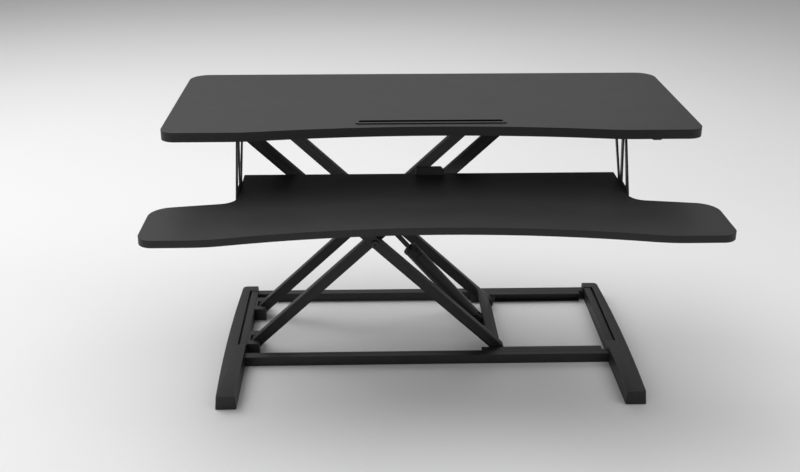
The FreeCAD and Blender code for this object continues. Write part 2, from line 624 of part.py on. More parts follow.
node("upper_rail_front", upper_rail("upper_rail_front"))
node("upper_rail_rear", upper_rail("upper_rail_rear"))
bar_start = f"{UPPER_BLOCKS[0]} + upper_block_width"
node("upper_bar_left", block(("-rail_inner", bar_start, f"({DESK_UNDER}) - upper_bar_left_height"),
                             ("rail_inner + upper_rail_start", f"({UPPER_BLOCKS[1]}) - ({bar_start})",
                              "upper_bar_left_height")))
node("upper_bar_right", block(
    ("upper_track_end - upper_bar_right_setback", "upper_rail_front + track_width",
     f"({DESK_UNDER}) - upper_bar_right_height"),
    ("upper_bar_right_width", "upper_rail_rear - upper_rail_front - track_width", "upper_bar_right_height")))


def upper_track(front, opens):
    """Channel that continues a frame rail, open towards an inner arm; an upper slide runs in it."""
    body = block(("upper_track_start", front, "upper_rail_low"),
                 ("upper_track_end - upper_track_start", "track_width", UPPER_HIGH))
    room_start = f"{front} - 1" if opens < 0 else f"{front} + track_wall"
    room = block(("upper_track_start + track_wall", room_start, "upper_rail_low + track_wall"),
                 ("upper_track_end - upper_track_start - 2 * track_wall", "track_width - track_wall + 1",
                  f"{UPPER_HIGH} - 2 * track_wall"))
    return cut(body, room)


node("upper_track_front", upper_track("upper_rail_front", -1))
node("upper_track_rear", upper_track("upper_rail_rear", 1))

block_half = f"({PIVOT_HIGH} - upper_rail_low - track_wall - slide_fit)"
slides = []
for front in ("upper_rail_front + 0.5", "upper_rail_rear + 2.4"):
    body = block((f"{SLIDE_X} - slide_half", front, f"{PIVOT_HIGH} - {block_half}"),
                 ("2 * slide_half", "slide_width", f"2 * {block_half}"))
    slides.append(cut(body, rod((SLIDE_X, f"{front} - 1", PIVOT_HIGH), "axle_radius + fit", 14)))
node("upper_slide_blocks", group(*slides))
node("upper_slide_pins", group(
    rod((SLIDE_X, f"{INNER_FRONT} + 0.5", PIVOT_HIGH), "axle_radius",
        f"upper_rail_front + 11.4 - ({INNER_FRONT}) - 0.5"),
    rod((SLIDE_X, "upper_rail_rear + 2.6", PIVOT_HIGH), "axle_radius",
        f"({INNER_REAR}) + arm_thick - 0.5 - upper_rail_rear - 2.6")))

frame_screws = []
for front in ("upper_rail_front", "upper_rail_rear"):
    for x in FRAME_SCREW_X:
        y = f"{front} + track_width / 2"
        frame_screws.append(fuse(rod((x, y, "upper_rail_low - 3"), "frame_screw_head", 3, UP),
                                 rod((x, y, "upper_rail_low - 1"), "frame_screw_radius",
                                     f"{UPPER_HIGH} + 12", UP)))
node("frame_screws", group(*frame_screws))

# ---------------------------------------------------------------- desktop board
half = cell("desk_width") / 2
front = cell("desk_front")
rear = front + cell("desk_depth")
desk_points = [
    (-half, front, cell("desk_front_radius")),
    hollow_front(front, cell("desk_curve_half"), cell("desk_curve_depth"), 260),
    (half, front, cell("desk_front_radius")),
    (half, rear, cell("desk_rear_radius")),
    (-half, rear, cell("desk_rear_radius")),
]
board = prism(desk_points, "desk_thick", (0, 0, DESK_UNDER))
slot_front = cell("slot_rear") - cell("slot_width")
slot_half, slot_round = cell("slot_half_length"), cell("slot_end_radius")
slot_points = [(-slot_half, slot_front, slot_round), (slot_half, slot_front, slot_round),
               (slot_half, cell("slot_rear"), slot_round), (-slot_half, cell("slot_rear"), slot_round)]
slot = prism(slot_points, "slot_depth + 1", ("slot_shift", 0, "desk_top - slot_depth"))
lip_front = slot_front - cell("lip_width")
lip_half, lip_round = cell("lip_half_length"), cell("lip_radius")
lip_points = [(-lip_half, lip_front, lip_round), (lip_half, lip_front, lip_round),
              (lip_half, slot_front, lip_round), (-lip_half, slot_front, lip_round)]
lip_section = [(lip_front - 1, -1), (slot_front + 1, -1), (slot_front + 1, 0),
               (lip_front + cell("lip_flat"), cell("lip_rise")), (lip_front - 1, cell("lip_rise"))]
lip = common(prism(lip_points, "lip_rise + 1", ("slot_shift", 0, "desk_top - 1")),
             prism(lip_section, "2 * lip_half_length",
                   ("slot_shift - lip_half_length", 0, "desk_top"), PLANE_YZ))
board_holes = []
for rail_front in ("upper_rail_front", "upper_rail_rear"):
    for x in FRAME_SCREW_X:
        board_holes.append(rod((x, f"{rail_front} + track_width / 2", f"{DESK_UNDER} - 1"),
                               "frame_screw_radius + fit", 12.5, UP))
HANGER_SCREWS = ((-48, 4), (-96, -46))
for side in (-1, 1):
    for y in HANGER_SCREWS[0]:
        board_holes.append(rod((f"{side} * hanger_screw_x", y, f"{DESK_UNDER} - 1"),
                               "frame_screw_radius + fit", 10, UP))
node("desktop_board", cut(fuse(board, lip), slot, *board_holes))

# ---------------------------------------------------------------- keyboard tray and its hangers
half = cell("tray_width") / 2
front = cell("tray_front")
neck = cell("tray_neck_half")
tray_points = [
    (-half, front, cell("tray_front_radius")),
    hollow_front(front, cell("tray_curve_half"), cell("tray_curve_depth"), 240),
    (half, front, cell("tray_front_radius")),
    (half, cell("tray_side_rear"), cell("tray_rear_radius")),
    (neck, cell("tray_neck_front"), cell("tray_neck_radius")),
    (neck, cell("tray_neck_rear"), 2),
    (-neck, cell("tray_neck_rear"), 2),
    (-neck, cell("tray_neck_front"), cell("tray_neck_radius")),
    (-half, cell("tray_side_rear"), cell("tray_rear_radius")),
]
tray = prism(tray_points, "tray_thick", (0, 0, TRAY_UNDER))
tray_cuts = [block(("-clip_half - 0.1", "clip_front - 0.1", f"{TRAY_UNDER} - 1"),
                   ("2 * clip_half + 0.2", "tray_neck_rear - clip_front + 2", "tray_thick + 2"))]
for side in (-1, 1):
    for y in HANGER_SCREWS[1]:
        tray_cuts.append(rod((f"{side} * hanger_screw_x", y, f"{TRAY_UNDER} - 1"),
                             "frame_screw_radius + fit", 10, UP))
node("tray_board", cut(tray, *tray_cuts))


def hanger(side):
    """Sheet steel bracket: a web of three strips between a flange under each board."""
    low = cell("tray_top") - cell("tray_thick")
    high = cell("desk_top") - cell("desk_thick")
    sheet_thick = cell("hanger_thick")
    # web corners and windows, front to back and up
    web_points = [(-113, low - sheet_thick), (-27, low - sheet_thick), (-27, low + 17), (15.5, high - 35),
                  (15.5, high), (-60, high), (-110, low + 13)]
    windows = (
        [(-94, low + 17, 2), (-57, low + 17, 2), (-42.5, high - 12, 2), (-56, high - 12, 2)],
        [(-46, low + 17, 2), (-35, low + 17, 2), (5.5, high - 33, 2), (5.5, high - 12, 2),
         (-31, high - 12, 2)],
    )
    start = "tray_neck_half + hanger_gap" if side > 0 else "-tray_neck_half - hanger_gap - hanger_thick"
    web = prism(web_points, "hanger_thick", (start, 0, 0), PLANE_YZ)
    cuts = [prism(points, "hanger_thick + 6", (start + " - 3", 0, 0), PLANE_YZ) for points in windows]
    inner = "tray_neck_half + hanger_gap - hanger_flange" if side > 0 else "-tray_neck_half - hanger_gap"
    top = block((inner, -60, f"({DESK_UNDER}) - hanger_thick"), ("hanger_flange", 75.5, "hanger_thick"))
    bottom = block((inner, -113, f"({TRAY_UNDER}) - hanger_thick"), ("hanger_flange", 86, "hanger_thick"))
    for under, spots in ((DESK_UNDER, HANGER_SCREWS[0]), (TRAY_UNDER, HANGER_SCREWS[1])):
        for y in spots:
            cuts.append(rod((f"{side} * hanger_screw_x", y, f"({under}) - hanger_thick - 1"),
                            "frame_screw_radius + fit", "hanger_thick + 2", UP))
    return cut(fuse(web, top, bottom), *cuts)


node("tray_hanger_left", hanger(-1))
node("tray_hanger_right", hanger(1))

hanger_screws = []
for side in (-1, 1):
    for under, spots in ((DESK_UNDER, HANGER_SCREWS[0]), (TRAY_UNDER, HANGER_SCREWS[1])):
        for y in spots:
            x = f"{side} * hanger_screw_x"
            hanger_screws.append(fuse(
                rod((x, y, f"({under}) - hanger_thick - 2.4"), "frame_screw_head", 2.4, UP),
                rod((x, y, f"({under}) - hanger_thick - 1"), "frame_screw_radius", "hanger_thick + 9", UP)))
node("hanger_screws", group(*hanger_screws))

clip_half = cell("clip_half")
clip_high = cell("clip_rise") + cell("tray_thick") + cell("clip_base")
clip_points = [(-clip_half, 0), (clip_half, 0), (clip_half, clip_high - 6), (clip_half - 6, clip_high),
               (-clip_half, clip_high)]
clip_low = f"({TRAY_UNDER}) - clip_base"
node("tray_clip", fuse(
    prism(clip_points, "tray_neck_rear - clip_front", (0, "tray_neck_rear", clip_low), PLANE_XZ),
    block(("-clip_half", "clip_front - 15", clip_low), ("2 * clip_half", 16, "clip_base"))))

# ---------------------------------------------------------------- release lever
LEVER_Z = "lever_pivot_height"
cheeks = [block((start, "lever_pivot_y - 10", f"{LEVER_Z} - 6"),
                ("cheek_thick", "cheek_length", f"({DESK_UNDER}) - {LEVER_Z} + 6"))
          for start in ("lever_x - cheek_outer", "lever_x + cheek_outer - cheek_thick")]
plate = block(("lever_x - cheek_outer", "lever_pivot_y + cheek_length - 16", f"({DESK_UNDER}) - cheek_thick"),
              ("2 * cheek_outer", 6, "cheek_thick"))
pin_hole = rod(("lever_x - 20", "lever_pivot_y", LEVER_Z), "lever_pin_radius + fit", 40, ALONG_X)
node("lever_bracket", cut(fuse(*cheeks, plate), pin_hole))
node("lever_pin", fuse(
    rod(("lever_x - cheek_outer - 1.5", "lever_pivot_y", LEVER_Z), "lever_pin_radius",
        "2 * cheek_outer + 3", ALONG_X),
    *[rod((start, "lever_pivot_y", LEVER_Z), "lever_pin_head_radius", "lever_pin_head", ALONG_X)
      for start in ("lever_x - cheek_outer - side_gap - lever_pin_head",
                    "lever_x + cheek_outer + side_gap")]))
coil_start = "lever_x - hub_half + hub_length + 0.4"
node("lever_return_spring", cut(
    rod((coil_start, "lever_pivot_y", LEVER_Z), "coil_outer", "coil_length", ALONG_X),
    rod((f"{coil_start} - 0.4", "lever_pivot_y", LEVER_Z), "coil_inner", "coil_length + 1.8", ALONG_X)))
tip = -cell("lever_length")
paddle_points = [(tip, -5, 1.5), (tip + 6, -5.5), (-6, -4.5), (0, -4.5), (0, 0), (0, 4.5), (-6, 2.5),
                 (tip + 6, -1.9), (tip, -1.5, 1.5)]
profile = prism(paddle_points, "2 * hub_half", ("lever_x - hub_half", "lever_pivot_y", LEVER_Z), PLANE_YZ)
half_width = cell("lever_half_width")
plan_points = [(-half_width, tip - 1, 6), (half_width, tip - 1, 6), (half_width, 6), (-half_width, 6)]
plan = prism(plan_points, 20, ("lever_x", "lever_pivot_y", f"{LEVER_Z} - 10"))
hub = rod(("lever_x - hub_half", "lever_pivot_y", LEVER_Z), 5, "hub_length", ALONG_X)
lever_hole = rod(("lever_x - hub_half - 2", "lever_pivot_y", LEVER_Z), "lever_pin_radius + fit", 40, ALONG_X)
node("release_lever", cut(fuse(common(profile, plan), hub), lever_hole))

# ---------------------------------------------------------------- recompute, check, export
doc.recompute()
faults = []
for item in doc.Objects:
    if any(state in item.State for state in ("Invalid", "Error")):
        faults.append(f"{item.Name} {item.Label} {item.State}")
for item in NODES:
    if item.Shape.isNull() or not item.Shape.isValid() or not item.Shape.Solids:
        faults.append(f"{item.Label} has no valid solid")
if faults:
    raise RuntimeError("; ".join(faults))
os.makedirs("parts", exist_ok=True)
for item in NODES:
    item.Shape.exportStep(f"parts/{item.Label}.step")
print(f"{len(NODES)} parts exported, spring length {SPRING_LENGTH:.2f}")
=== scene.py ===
"""Looks of the standing desk converter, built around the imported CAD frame."""

import json
import math

import bmesh
import bpy
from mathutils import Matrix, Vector


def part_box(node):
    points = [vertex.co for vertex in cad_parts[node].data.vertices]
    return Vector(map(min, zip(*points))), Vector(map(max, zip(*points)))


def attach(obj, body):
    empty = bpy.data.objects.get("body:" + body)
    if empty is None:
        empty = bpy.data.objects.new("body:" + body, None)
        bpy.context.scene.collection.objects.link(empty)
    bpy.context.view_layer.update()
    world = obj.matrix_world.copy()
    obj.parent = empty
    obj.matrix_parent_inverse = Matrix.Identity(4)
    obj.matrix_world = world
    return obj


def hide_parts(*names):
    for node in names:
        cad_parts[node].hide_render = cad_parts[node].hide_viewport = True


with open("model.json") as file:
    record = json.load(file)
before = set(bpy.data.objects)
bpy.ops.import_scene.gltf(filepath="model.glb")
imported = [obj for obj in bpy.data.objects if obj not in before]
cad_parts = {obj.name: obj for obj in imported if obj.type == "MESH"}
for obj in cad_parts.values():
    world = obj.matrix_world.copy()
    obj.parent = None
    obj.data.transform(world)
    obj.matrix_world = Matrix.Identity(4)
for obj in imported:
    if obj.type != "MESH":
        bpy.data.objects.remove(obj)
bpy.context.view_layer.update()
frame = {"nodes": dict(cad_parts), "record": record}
NODES = frame["nodes"]
BODY_OF = {name: body for body, names in frame["record"]["behaviour"]["bodies"].items() for name in names}

MM = 0.001
WELD = 0.02 * MM
# turns between faces: joined below the first, rounded above the second
FLAT_TURN = math.radians(0.4)
EDGE_TURN = math.radians(40)
# turns above which shading breaks, in degrees: on turned and coiled pieces, and on the boards
TURNED_SHARP = 32
COIL_SHARP = 50
BOARD_SHARP = 12
BEVEL_STEPS = 3
# shares of a fastener's widest radius that mark its head and its shank, and of its head for the socket
HEAD_SHARE = 0.93
SHANK_SHARE = 0.3
SOCKET_SHARE = 0.62
BOARD_ROUNDING = 1.1
CAMERA_AT = (-0.1067, -1.896, 1.0638)
CAMERA_DOWN = 22.77
CAMERA_TURN = 1.524
CAMERA_ROLL = -0.057
CAMERA_LENS = 48.83

AIR_STRENGTH = 0.25
# place, size and power of each soft light
LIGHTS = {
    "left_rear": ((-2.4, 1.6, 2.4), (2.2, 2.2), 29),
    "overhead": ((0, 0.3, 3.2), (3, 3), 40),
    "rear": ((0, 2.8, 2.2), (3, 1.6), 11),
    "left_front": ((-1.8, -2.8, 1.6), (2, 2), 18),
    "left_low": ((-3.2, 0.2, 1.1), (1.6, 1.6), 6),
    "right_front": ((2.4, -1.2, 2.6), (2.2, 2.2), 23),
    "left_high": ((-1.4, 0.6, 3.2), (2.5, 2.5), 30),
}


# ------------------------------------------------------------------ materials
def new_material(name):
    """Empty node material with its shader and object coordinates."""
    material = bpy.data.materials.new(name)
    material.use_nodes = True
    tree = material.node_tree
    shader = tree.nodes["Principled BSDF"]
    coordinates = tree.nodes.new("ShaderNodeTexCoord")
    return material, tree, shader, coordinates.outputs["Object"]


def noise(tree, where, scale, detail=2.0, rough=0.5, stretch=(1, 1, 1)):
    """Noise texture in object space."""
    mapping = tree.nodes.new("ShaderNodeMapping")
    mapping.inputs["Scale"].default_value = stretch
    texture = tree.nodes.new("ShaderNodeTexNoise")
    texture.inputs["Scale"].default_value = scale
    texture.inputs["Detail"].default_value = detail
    texture.inputs["Roughness"].default_value = rough
    tree.links.new(where, mapping.inputs["Vector"])
    tree.links.new(mapping.outputs["Vector"], texture.inputs["Vector"])
    return texture.outputs["Fac"]


def cells(tree, where, scale):
    """Small rounded cells, for a pebbled surface."""
    texture = tree.nodes.new("ShaderNodeTexVoronoi")
    texture.feature = "SMOOTH_F1"
    texture.inputs["Scale"].default_value = scale
    tree.links.new(where, texture.inputs["Vector"])
    return texture.outputs["Distance"]


def ramp(tree, value, low, high, start=0.3, end=0.7):
    """Blend between two greys or colours."""
    node = tree.nodes.new("ShaderNodeValToRGB")
    node.color_ramp.elements[0].position = start
    node.color_ramp.elements[1].position = end
    node.color_ramp.elements[0].color = (*low, 1)
    node.color_ramp.elements[1].color = (*high, 1)
    tree.links.new(value, node.inputs["Fac"])
    return node.outputs["Color"]


def spread(tree, value, low, high):
    """Map a 0 to 1 value to a range."""
    node = tree.nodes.new("ShaderNodeMapRange")
    node.inputs["To Min"].default_value = low
    node.inputs["To Max"].default_value = high
    tree.links.new(value, node.inputs["Value"])
    return node.outputs["Result"]


def add(tree, first, second, weight):
    """first + weight * second."""
    node = tree.nodes.new("ShaderNodeMath")
    node.operation = "MULTIPLY_ADD"
    node.inputs[1].default_value = weight
    tree.links.new(second, node.inputs[0])
    tree.links.new(first, node.inputs[2])
    return node.outputs[0]


def bump(tree, shader, height, strength, distance):
    """Fine relief on the shader's normal."""
    node = tree.nodes.new("ShaderNodeBump")
    node.inputs["Strength"].default_value = strength
    node.inputs["Distance"].default_value = distance
    tree.links.new(height, node.inputs["Height"])
    tree.links.new(node.outputs["Normal"], shader.inputs["Normal"])


def make_laminate():
    """Black melamine: pebbled, faintly mottled, with soft rub marks."""
    material, tree, shader, where = new_material("black_laminate")
    mottle = noise(tree, where, 14, 4, 0.6)
    grain = noise(tree, where, 900, 2, 0.6)
    both = add(tree, mottle, grain, 0.35)
    tree.links.new(ramp(tree, both, (0.0088, 0.0088, 0.0088), (0.0128, 0.0128, 0.0128), 0.45, 0.85),
                   shader.inputs["Base Color"])
    tree.links.new(spread(tree, both, 0.42, 0.54), shader.inputs["Roughness"])
    pebble = add(tree, cells(tree, where, 1100), noise(tree, where, 420, 3, 0.6), 0.6)
    bump(tree, shader, pebble, 0.22, 0.00016)
    shader.inputs["Specular IOR Level"].default_value = 0.42
    return material


def make_edge_band():
    """Black edge band: smoother than the face, with fine lengthwise streaks."""
    material, tree, shader, where = new_material("black_edge_band")
    streak = noise(tree, where, 60, 3, 0.6, (1, 1, 14))
    tree.links.new(ramp(tree, streak, (0.0075, 0.0075, 0.0075), (0.0120, 0.0120, 0.0120)),
                   shader.inputs["Base Color"])
    tree.links.new(spread(tree, streak, 0.46, 0.58), shader.inputs["Roughness"])
    bump(tree, shader, noise(tree, where, 700, 2, 0.5), 0.15, 0.0001)
    shader.inputs["Specular IOR Level"].default_value = 0.4
    return material


def make_powder_coat():
    """Black powder coat: orange peel relief with small sparkle of uneven gloss."""
    material, tree, shader, where = new_material("black_powder_coat")
    cloud = noise(tree, where, 30, 3, 0.55)
    tree.links.new(ramp(tree, cloud, (0.0082, 0.0082, 0.0082), (0.0125, 0.0125, 0.0125)),
                   shader.inputs["Base Color"])
    tree.links.new(spread(tree, noise(tree, where, 260, 3, 0.6), 0.42, 0.58), shader.inputs["Roughness"])
    peel = add(tree, noise(tree, where, 520, 2, 0.5), cells(tree, where, 900), 0.5)
    bump(tree, shader, peel, 0.3, 0.0002)
    shader.inputs["Specular IOR Level"].default_value = 0.45
    return material


def make_plastic(name, low, high, roughness):
    """Moulded plastic with a fine spark-eroded texture."""
    material, tree, shader, where = new_material(name)
    tree.links.new(ramp(tree, noise(tree, where, 45, 3, 0.6), low, high), shader.inputs["Base Color"])
    tree.links.new(spread(tree, noise(tree, where, 300, 2, 0.5), roughness - 0.06, roughness + 0.08),
                   shader.inputs["Roughness"])
    bump(tree, shader, cells(tree, where, 1500), 0.25, 0.00012)
    return material


def make_rubber():
    """Soft black rubber with dusty patches."""
    material, tree, shader, where = new_material("black_rubber")
    dust = noise(tree, where, 120, 5, 0.7)
    tree.links.new(ramp(tree, dust, (0.010, 0.010, 0.010), (0.026, 0.025, 0.024), 0.4, 0.8),
                   shader.inputs["Base Color"])
    tree.links.new(spread(tree, dust, 0.7, 0.9), shader.inputs["Roughness"])
    bump(tree, shader, noise(tree, where, 600, 3, 0.6), 0.3, 0.0002)
    return material


def make_metal(name, low, high, rough_low, rough_high, stretch):
    """Turned or brushed metal."""
    material, tree, shader, where = new_material(name)
    brush = noise(tree, where, 240, 4, 0.6, stretch)
    tree.links.new(ramp(tree, brush, low, high), shader.inputs["Base Color"])
    tree.links.new(spread(tree, brush, rough_low, rough_high), shader.inputs["Roughness"])
    shader.inputs["Metallic"].default_value = 1.0
    bump(tree, shader, brush, 0.12, 0.0001)
    return material


def make_painted_tube():
    """Smooth black lacquer on the gas spring's cylinder."""
    material, tree, shader, where = new_material("black_lacquer")
    haze = noise(tree, where, 50, 3, 0.6)
    tree.links.new(ramp(tree, haze, (0.0085, 0.0085, 0.0085), (0.0130, 0.0130, 0.0130)),
                   shader.inputs["Base Color"])
    tree.links.new(spread(tree, noise(tree, where, 160, 3, 0.6), 0.40, 0.50), shader.inputs["Roughness"])
    bump(tree, shader, noise(tree, where, 340, 2, 0.5), 0.06, 0.0001)
    return material


def make_slot_shade():
    """Flat near-black painted shade on the faces inside the desktop's slot, darker than the laminate, with a
    fine speckle.
    """
    material, tree, shader, where = new_material("slot_painted_shade")
    shade_speckle = noise(tree, where, 500, 3, 0.6)
    tree.links.new(ramp(tree, shade_speckle, (0.0015, 0.0015, 0.0015), (0.0040, 0.0040, 0.0040)),
                   shader.inputs["Base Color"])
    tree.links.new(spread(tree, shade_speckle, 0.85, 0.98), shader.inputs["Roughness"])
    bump(tree, shader, shade_speckle, 0.3, 0.0002)
    shader.inputs["Specular IOR Level"].default_value = 0.12
    return material


def make_floor():
    """Pale studio floor with a barely visible unevenness."""
    material, tree, shader, where = new_material("pale_floor")
    cloud = noise(tree, where, 0.6, 2, 0.5)
    tree.links.new(ramp(tree, cloud, (0.80, 0.80, 0.80), (0.83, 0.83, 0.83)), shader.inputs["Base Color"])
    shader.inputs["Roughness"].default_value = 0.75
    shader.inputs["Specular IOR Level"].default_value = 0.2
    return material


LAMINATE = make_laminate()
EDGE_BAND = make_edge_band()
STEEL = make_powder_coat()
PLASTIC = make_plastic("black_plastic", (0.0070, 0.0070, 0.0070), (0.0115, 0.0115, 0.0115), 0.6)
NYLON = make_plastic("dark_nylon", (0.022, 0.022, 0.023), (0.036, 0.036, 0.037), 0.45)
RUBBER = make_rubber()
ZINC = make_metal("black_zinc", (0.035, 0.035, 0.036), (0.070, 0.070, 0.072), 0.36, 0.52, (1, 1, 6))
ROD = make_metal("nitrided_rod", (0.040, 0.040, 0.042), (0.070, 0.070, 0.073), 0.22, 0.34, (1, 8, 1))
CYLINDER = make_painted_tube()
# painted shade: near-black material for the inside of the desktop's slot
SLOT_SHADE = make_slot_shade()
CAST = make_metal("black_casting", (0.045, 0.045, 0.047), (0.075, 0.075, 0.078), 0.42, 0.6, (1, 1, 1))

BY_SLOT = {
    "laminate_black": LAMINATE, "steel_black": STEEL, "plastic_black": PLASTIC, "rubber_black": RUBBER,
    "nylon_grey": NYLON, "zinc_black": ZINC, "rod_black": ROD, "cast_black": CAST,
}
SLOT_OF = {row["node"]: row["material_slot"] for row in frame["record"]["subparts"]}


# ------------------------------------------------------------------ pieces
def keep(piece, node, material=None):
    """Give a piece the material, body and slot of the CAD node it stands for."""
    piece.data.materials.clear()
    piece.data.materials.append(material or BY_SLOT[SLOT_OF[node]])
    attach(piece, BODY_OF[node])


def refined(node, radius, sharp=None):
    """Copy of a CAD node with its facets joined and its edges rounded, radius in millimetres."""
    source = NODES[node]
    mesh = source.data.copy()
    piece = bpy.data.objects.new(f"{node}_shape", mesh)
    bpy.context.scene.collection.objects.link(piece)
    work = bmesh.new()
    work.from_mesh(mesh)
    bmesh.ops.remove_doubles(work, verts=work.verts, dist=WELD)
    bmesh.ops.dissolve_limit(work, angle_limit=FLAT_TURN, verts=work.verts, edges=work.edges)
    for face in work.faces:
        face.smooth = True
    work.to_mesh(mesh)
    work.free()
    if sharp:
        mesh.set_sharp_from_angle(angle=math.radians(sharp))
    bevel = piece.modifiers.new("rounded_edges", "BEVEL")
    bevel.width = radius * MM
    bevel.segments = BEVEL_STEPS
    bevel.limit_method = "ANGLE"
    bevel.angle_limit = EDGE_TURN
    bevel.use_clamp_overlap = True
    bevel.harden_normals = True
    keep(piece, node)
    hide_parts(node)
    return piece


def solids(node):
    """Vertex positions of each separate solid of a CAD node."""
    work = bmesh.new()
    work.from_mesh(NODES[node].data)
    bmesh.ops.remove_doubles(work, verts=work.verts, dist=WELD)
    left = set(work.verts)
    groups = []
    while left:
        queue = [left.pop()]
        found = []
        while queue:
            vertex = queue.pop()
            found.append(vertex.co.copy())
            for edge in vertex.link_edges:
                other = edge.other_vert(vertex)
                if other in left:
                    left.remove(other)
                    queue.append(other)
        groups.append(found)
    work.free()
    return groups


def spans(points, origin, axis):
    """Distance along an axis and radius about it for every point."""
    result = []
    for point in points:
        step = (point - origin).dot(axis)
        result.append((step, (point - origin - axis * step).length))
    return result


def hexagon(apothem, angle):
    """Distance from the centre to the side of a hexagon in one direction."""
    return apothem / math.cos(angle % (math.pi / 3) - math.pi / 6)


def turn(work, origin, axis, profile, steps=48):
    """Add a closed turned shape. Profile entries are (distance, radius in metres, is it a hexagon)."""
    side = axis.orthogonal().normalized()
    other = axis.cross(side)
    rings = []
    for distance, radius, six in profile:
        centre = origin + axis * distance
        if radius <= 0:
            rings.append([work.verts.new(centre)])
            continue
        ring = []
        for index in range(steps):
            angle = 2 * math.pi * index / steps
            reach = hexagon(radius, angle) if six else radius
            ring.append(work.verts.new(centre + (side * math.cos(angle) + other * math.sin(angle)) * reach))
        rings.append(ring)
    for first, second in zip(rings, rings[1:]):
        for index in range(steps):
            following = (index + 1) % steps
            if len(first) == 1:
                work.faces.new((first[0], second[following], second[index]))
            elif len(second) == 1:
                work.faces.new((first[index], first[following], second[0]))
            else:
                work.faces.new((first[index], first[following], second[following], second[index]))


def made(work, node, name, material=None, sharp=TURNED_SHARP):
    """Finish a built mesh: outward normals, smooth shading between sharp edges, in place of its node."""
    bmesh.ops.recalc_face_normals(work, faces=work.faces)
    for face in work.faces:
        face.smooth = True
    mesh = bpy.data.meshes.new(name)
    work.to_mesh(mesh)
    work.free()
    mesh.set_sharp_from_angle(angle=math.radians(sharp))
    piece = bpy.data.objects.new(name, mesh)
    bpy.context.scene.collection.objects.link(piece)
    keep(piece, node, material)
    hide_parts(node)


def bolts(node, axis, socket):
    """Socket head screws in place of a node's plain ones, headed at the wide end."""
    work = bmesh.new()
    for points in solids(node):
        middle = Vector([(min(side) + max(side)) / 2 for side in zip(*points)])
        found = spans(points, middle, axis)
        low, high = min(step for step, _ in found), max(step for step, _ in found)
        widest = max(radius for _, radius in found)
        head = [step for step, radius in found if radius > HEAD_SHARE * widest]
        forward = min(head) - low < high - max(head)
        direction = axis if forward else -axis
        start = middle + axis * (low if forward else high)
        thick = max(head) - min(head)
        long = high - low
        shank = min(radius for _, radius in found if radius > SHANK_SHARE * widest)
        depth = thick * SOCKET_SHARE
        turn(work, start, direction, [
            (depth, 0, False), (depth, socket, True), (0.2 * MM, socket, True), (0, socket * 1.06, True),
            (0, widest - 0.9 * MM, False), (0.25 * MM, widest - 0.35 * MM, False),
            (0.9 * MM, widest, False), (thick - 0.3 * MM, widest, False),
            (thick, widest - 0.3 * MM, False), (thick, shank, False), (long - 0.6 * MM, shank, False),
            (long, shank - 0.6 * MM, False), (long, 0, False)])
    made(work, node, f"{node}_turned")


def pin_with_ends(node, axis, six):
    """Pin with a nut or a riveted head at each end."""
    points = solids(node)[0]
    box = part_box(node)
    middle = (Vector(box[0]) + Vector(box[1])) / 2
    found = spans(points, middle, axis)
    half = max(step for step, _ in found)
    widest = max(radius for _, radius in found)
    shank = min(radius for _, radius in found if radius > SHANK_SHARE * widest)
    inner = min(abs(step) for step, radius in found if radius > HEAD_SHARE * widest)
    flat = widest * 0.88 if six else widest
    side = [(0, 0, False), (0, shank * 0.75, False), (0.3 * MM, shank * 0.95, False),
            (0.3 * MM, flat * 0.86, False), (0.9 * MM, flat, six),
            (half - inner - 0.4 * MM, flat, six), (half - inner, flat * 0.94, False),
            (half - inner, shank, False)]
    work = bmesh.new()
    start = middle - axis * half
    back = [(2 * half - distance, radius, shape) for distance, radius, shape in reversed(side)]
    turn(work, start, axis, side + back)
    made(work, node, f"{node}_turned")


def lathe(node, origin, axis, profile, material=None):
    """Turned shape in millimetres along an axis, in place of a node."""
    work = bmesh.new()
    turn(work, origin, axis, [(distance * MM, radius * MM, False) for distance, radius in profile], 64)
    made(work, node, f"{node}_turned", material)


# edge rounding of each carried over piece, in millimetres
ROUNDING = {
    "foot_left": 1.6, "foot_right": 1.6, "foot_pads": 0.6, "front_crossbar": 1.8,
    "rear_crossbar": 1.8, "side_rail_left": 0.8, "side_rail_right": 0.8,
    "lower_hinge_block_front": 0.8, "lower_hinge_block_rear": 0.8, "lower_hinge_pins": 0.4,
    "lower_track_front": 0.9, "lower_track_rear": 0.9, "track_end_caps": 0.8, "arm_a_front": 1.4,
    "arm_a_rear": 1.4, "arm_b_front": 1.4, "arm_b_rear": 1.4, "centre_tube": 0.4,
    "centre_washers": 0.3, "spring_lever_plates": 0.5, "lower_cross_plate": 0.6,
    "spring_foot_ears": 0.5, "lower_shoe_front": 0.8, "lower_shoe_rear": 0.8, "lower_axle": 0.6,
    "axle_spacers": 0.4, "upper_slide_blocks": 0.6, "upper_slide_pins": 0.6,
    "upper_rail_front": 0.9, "upper_rail_rear": 0.9, "upper_bar_left": 0.7, "upper_bar_right": 0.7,
    "upper_hinge_block_front": 0.8, "upper_hinge_block_rear": 0.8, "upper_hinge_pins": 0.4,
    "upper_track_front": 0.5, "upper_track_rear": 0.5, "tray_hanger_left": 0.5,
    "tray_hanger_right": 0.5, "tray_clip": 1.0, "lever_bracket": 0.5, "release_lever": 0.7,
    "spring_cylinder_eye": 0.6, "spring_piston": 0.5, "release_head": 0.8,
}
for node_name, rounding in ROUNDING.items():
    refined(node_name, rounding)

SLOT_BOX = frame["record"]["physics"]["openings"][0]["box_m"]
SLOT_LOW, SLOT_HIGH = (Vector(corner) for corner in SLOT_BOX)
SLOT_MARGIN = Vector((12, 3, 3)) * MM
UPRIGHT = 0.3


def in_slot(point):
    """Is a point on the desktop's slot, below the top face?"""
    low, high = SLOT_LOW - SLOT_MARGIN, SLOT_HIGH + SLOT_MARGIN
    return (low.x < point.x < high.x and low.y < point.y < high.y
            and low.z < point.z < SLOT_HIGH.z - SLOT_MARGIN.z)


